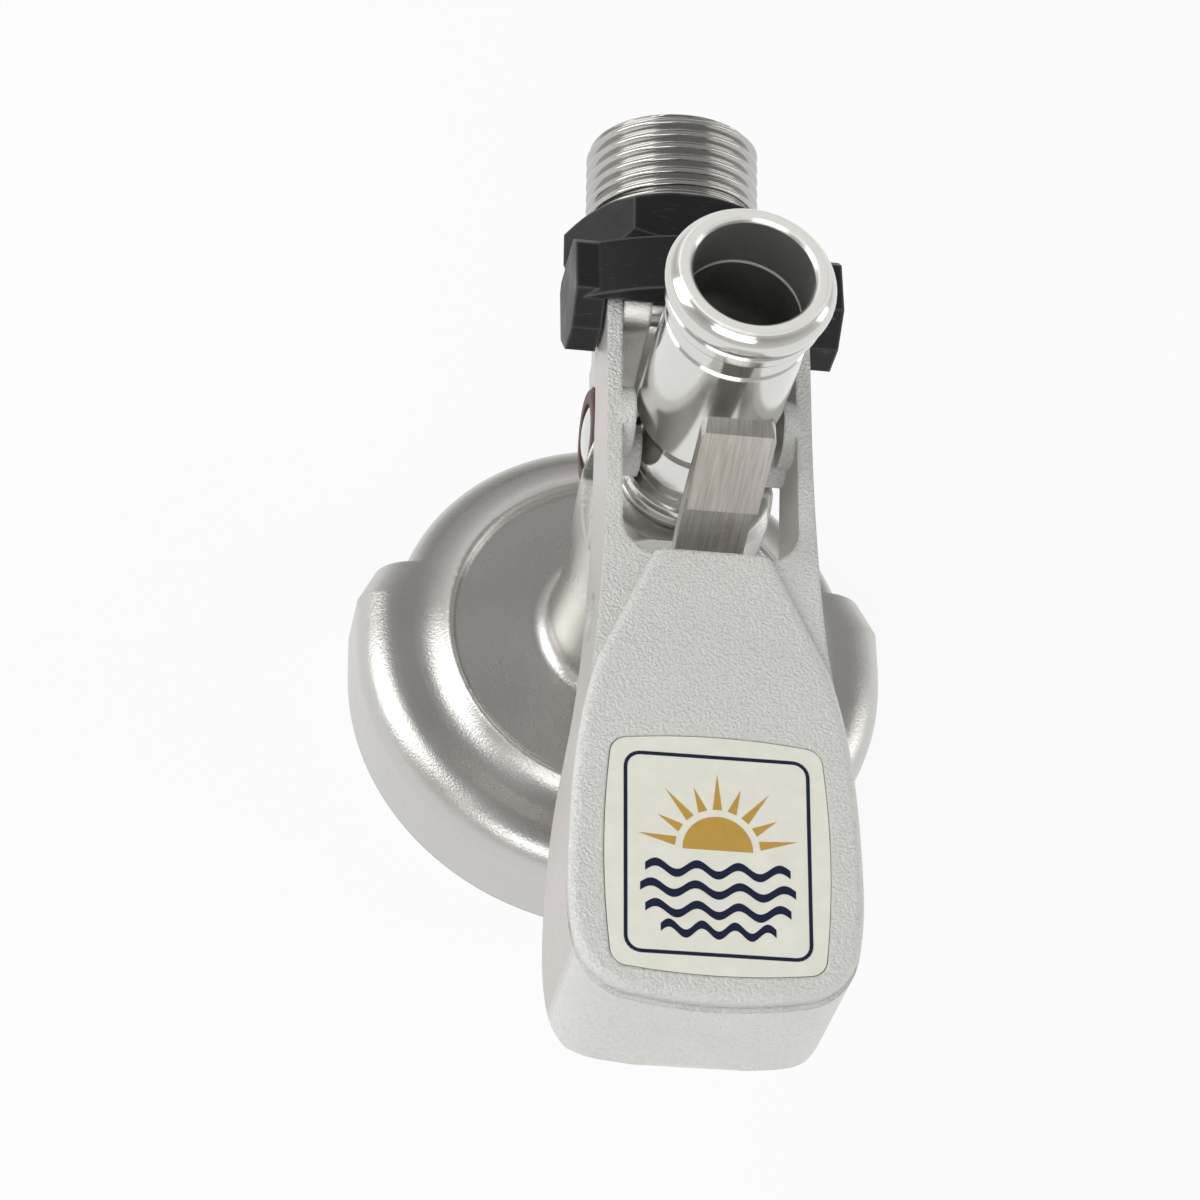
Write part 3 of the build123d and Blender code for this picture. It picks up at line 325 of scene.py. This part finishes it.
# Gas union with its thread cut in
def thread_radius(distance, angle):
    """Radius of the threaded stub: rounded crests and roots that climb one pitch a turn."""
    phase = ((distance - THREAD_START) / THREAD_PITCH - angle / tau) % 1.0
    depth = (0.5 + 0.5 * cos(tau * phase)) ** 1.5
    fade = min(1.0, (distance - THREAD_START) / THREAD_PITCH)
    crest = min(THREAD_R, THREAD_R - THREAD_CHAMFER + (THREAD_END - distance))
    return min(crest, THREAD_R - THREAD_DEPTH * depth * fade)


def threaded_union():
    """The union with its helix, as rings of points along the port from bore to stub and back."""
    rows = int((THREAD_END - THREAD_START) / THREAD_PITCH * MESH_PER_PITCH)
    outline = [
        (VALVE_START, lambda a: SPIGOT_BORE_R), (SPIGOT_START, lambda a: SPIGOT_BORE_R),
        (SPIGOT_START, lambda a: SPIGOT_R), (COLLAR_START, lambda a: SPIGOT_R),
        (COLLAR_START, lambda a: COLLAR_R), (THREAD_START, lambda a: COLLAR_R),
        (THREAD_START, lambda a: THREAD_R),
    ]
    for row in range(1, rows + 1):
        distance = THREAD_START + (THREAD_END - THREAD_START) * row / rows
        outline.append((distance, lambda a, d=distance: thread_radius(d, a)))
    outline += [(THREAD_END, lambda a: UNION_BORE_R), (VALVE_START, lambda a: UNION_BORE_R)]
    bm = bmesh.new()
    rings = []
    for distance, radius in outline:
        middle = PORT_FOOT + PORT_DIR * distance
        ring = []
        for step in range(MESH_AROUND):
            angle = tau * step / MESH_AROUND
            out = Vector((cos(angle), 0, 0)) + PORT_DOWN * sin(angle)
            ring.append(bm.verts.new(middle + out * radius(angle)))
        rings.append(ring)
    for row, ring in enumerate(rings):
        after = rings[(row + 1) % len(rings)]
        for step in range(MESH_AROUND):
            ahead = (step + 1) % MESH_AROUND
            bm.faces.new((ring[step], ring[ahead], after[ahead], after[step]))
    piece = mesh_piece("gas_union_threaded", bm, MATERIALS["thread_steel"], "body")
    sharp = piece.modifiers.new("sharp", "EDGE_SPLIT")
    sharp.split_angle = SHARP_ANGLE
    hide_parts("gas_union")


threaded_union()


# Latch spring, as a copy of its mesh
def winding_spring():
    """A copy of the spring, shown in place of the spring, which is hidden."""
    mesh = nodes["latch_spring"].data.copy()
    piece = bpy.data.objects.new("latch_spring_wound", mesh)
    bpy.context.scene.collection.objects.link(piece)
    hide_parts("latch_spring")
    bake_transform(piece)


winding_spring()


# Print on the badge: a low sun over waves inside a frame line
def on_badge(across, along, height):
    """A place over the badge plate, from its middle, in millimetres."""
    slope = Vector((0, cos(TOP_SLOPE), sin(TOP_SLOPE)))
    normal = Vector((0, -sin(TOP_SLOPE), cos(TOP_SLOPE)))
    return TOP_FOOT + Vector((across * MM, 0, 0)) + slope * (BADGE_MIDDLE + along * MM) + normal * height


def badge_print(name, polygons, material):
    """One thin piece of print made of flat polygons on the badge."""
    bm = bmesh.new()
    for polygon in polygons:
        low = [bm.verts.new(on_badge(x, y, 0)) for x, y in polygon]
        high = [bm.verts.new(on_badge(x, y, PRINT_THICK)) for x, y in polygon]
        bm.faces.new(low[::-1])
        bm.faces.new(high)
        for k in range(len(polygon)):
            after = (k + 1) % len(polygon)
            bm.faces.new((low[k], low[after], high[after], high[k]))
    mesh_piece(name, bm, material, "lever", smooth=False)


def strip(path, width):
    """Quads along a path, this wide."""
    quads = []
    for (x0, y0), (x1, y1) in zip(path, path[1:]):
        length = sqrt((x1 - x0) ** 2 + (y1 - y0) ** 2)
        nx, ny = -(y1 - y0) / length * width / 2, (x1 - x0) / length * width / 2
        quads.append([(x0 - nx, y0 - ny), (x1 - nx, y1 - ny), (x1 + nx, y1 + ny), (x0 + nx, y0 + ny)])
    return quads


def arc(middle, radius, start, end, steps):
    """Points along an arc, both ends included."""
    angles = [start + (end - start) * k / steps for k in range(steps + 1)]
    return [(middle[0] + radius * cos(a), middle[1] + radius * sin(a)) for a in angles]


def wave(level, half):
    """A wave line from side to side of the badge."""
    shares = [k / WAVE_STEPS for k in range(WAVE_STEPS + 1)]
    return [(-half + 2 * half * share, level + WAVE_RISE * sin(tau * WAVE_CRESTS * share)) for share in shares]


INK = {"Specular IOR Level": 0.3}
NAVY = plain("print_navy", (0.010, 0.014, 0.045), 0.35, 900, 0.02, 0.0, **INK)
GOLD = plain("print_gold", (0.55, 0.34, 0.07), 0.35, 900, 0.02, 0.0, **INK)


def from_sun(radius, angle):
    """A point this far from the sun's middle."""
    return (SUN[0] + radius * cos(angle), SUN[1] + radius * sin(angle))


badge_print("badge_sun", [arc(SUN, SUN_R, 0, pi, SUN_STEPS)], GOLD)
rays = []
for k in range(RAYS):
    middle = pi * (k + 0.5) / RAYS
    reach = LONG_RAY if k % 2 == 0 else SHORT_RAY
    foot = [from_sun(RAY_FOOT, middle + turn) for turn in (-RAY_HALF_ANGLE, RAY_HALF_ANGLE)]
    rays.append([foot[0], from_sun(reach, middle), foot[1]])
badge_print("badge_rays", rays, GOLD)
waves = [wave(y - WAVE_HALF_THICK, half) + wave(y + WAVE_HALF_THICK, half)[::-1] for y, half in WAVES]
badge_print("badge_waves", waves, NAVY)
corners = ((1, 1, 0), (-1, 1, pi / 2), (-1, -1, pi), (1, -1, 1.5 * pi))
frame_line = []
for sx, sy, start in corners:
    middle = (sx * (FRAME_X - FRAME_CORNER), sy * (FRAME_Y - FRAME_CORNER))
    frame_line += arc(middle, FRAME_CORNER, start, start + pi / 2, FRAME_STEPS)
frame_line.append(frame_line[0])
badge_print("badge_frame", strip(frame_line, FRAME_WIDTH), NAVY)


# Floor, light and camera
def pale_floor():
    """A floor that the camera and reflections see as nearly white, and that still takes the object's shadow."""
    made = bpy.data.materials.new("floor_white")
    made.use_nodes = True
    tree = made.node_tree
    tree.nodes.clear()
    out = tree.nodes.new("ShaderNodeOutputMaterial")
    path = tree.nodes.new("ShaderNodeLightPath")
    either = tree.nodes.new("ShaderNodeMath")
    either.operation = "MAXIMUM"
    tree.links.new(path.outputs["Is Camera Ray"], either.inputs[0])
    tree.links.new(path.outputs["Is Glossy Ray"], either.inputs[1])
    share = tree.nodes.new("ShaderNodeMath")
    share.operation = "MULTIPLY"
    share.inputs[1].default_value = FLOOR_GLOW
    tree.links.new(either.outputs[0], share.inputs[0])
    matt = tree.nodes.new("ShaderNodeBsdfDiffuse")
    matt.inputs["Color"].default_value = (FLOOR_GREY, FLOOR_GREY, FLOOR_GREY, 1)
    glow = tree.nodes.new("ShaderNodeEmission")
    glow.inputs["Strength"].default_value = 1.0
    mix = tree.nodes.new("ShaderNodeMixShader")
    tree.links.new(share.outputs[0], mix.inputs[0])
    tree.links.new(matt.outputs[0], mix.inputs[1])
    tree.links.new(glow.outputs[0], mix.inputs[2])
    tree.links.new(mix.outputs[0], out.inputs[0])
    return made


bpy.ops.mesh.primitive_plane_add(size=FLOOR_SIZE, location=(0, 0, 0))
floor = bpy.context.object
floor.name = "floor"
floor.data.materials.append(pale_floor())


def softbox(name, place, size, power):
    """A rectangular lamp that faces the object's foot."""
    lamp = bpy.data.lights.new(name, "AREA")
    lamp.shape = "RECTANGLE"
    lamp.size, lamp.size_y = size
    lamp.energy = power
    made = bpy.data.objects.new(name, lamp)
    bpy.context.scene.collection.objects.link(made)
    made.location = place
    made.rotation_euler = (Vector(LAMP_TARGET) - Vector(place)).to_track_quat("-Z", "Y").to_euler()


for lamp_row in LAMPS:
    softbox(*lamp_row)


def studio_world():
    """A soft sky, darker overhead, that the camera sees as white."""
    world = bpy.data.worlds.new("studio")
    bpy.context.scene.world = world
    world.use_nodes = True
    tree = world.node_tree
    light = tree.nodes["Background"]
    place = tree.nodes.new("ShaderNodeTexCoord")
    parts = tree.nodes.new("ShaderNodeSeparateXYZ")
    tree.links.new(place.outputs["Generated"], parts.inputs[0])
    climb = tree.nodes.new("ShaderNodeMapRange")
    for key, value in SKY.items():
        climb.inputs[key].default_value = value
    tree.links.new(parts.outputs["Z"], climb.inputs["Value"])
    tree.links.new(climb.outputs["Result"], light.inputs["Strength"])
    light.inputs["Color"].default_value = SKY_COLOR
    white = tree.nodes.new("ShaderNodeBackground")
    path = tree.nodes.new("ShaderNodeLightPath")
    either = tree.nodes.new("ShaderNodeMixShader")
    tree.links.new(path.outputs["Is Camera Ray"], either.inputs[0])
    tree.links.new(light.outputs[0], either.inputs[1])
    tree.links.new(white.outputs[0], either.inputs[2])
    tree.links.new(either.outputs[0], tree.nodes["World Output"].inputs["Surface"])


studio_world()

eye = bpy.data.cameras.new("camera")
eye.lens = LENS
camera = bpy.data.objects.new("camera", eye)
bpy.context.scene.collection.objects.link(camera)
back = Vector((-sin(AZIMUTH) * cos(ELEVATION), -cos(AZIMUTH) * cos(ELEVATION), sin(ELEVATION)))
level = Vector((cos(AZIMUTH), -sin(AZIMUTH), 0))
upward = back.cross(level)
right = level * cos(ROLL) + upward * sin(ROLL)
up = upward * cos(ROLL) - level * sin(ROLL)
turn = Matrix((right, up, back)).transposed()
camera.matrix_world = Matrix.Translation(AIM + back * DISTANCE) @ turn.to_4x4()
eye.clip_start = CLIP_START
bpy.context.scene.camera = camera
bpy.context.scene.view_settings.view_transform = "Standard"
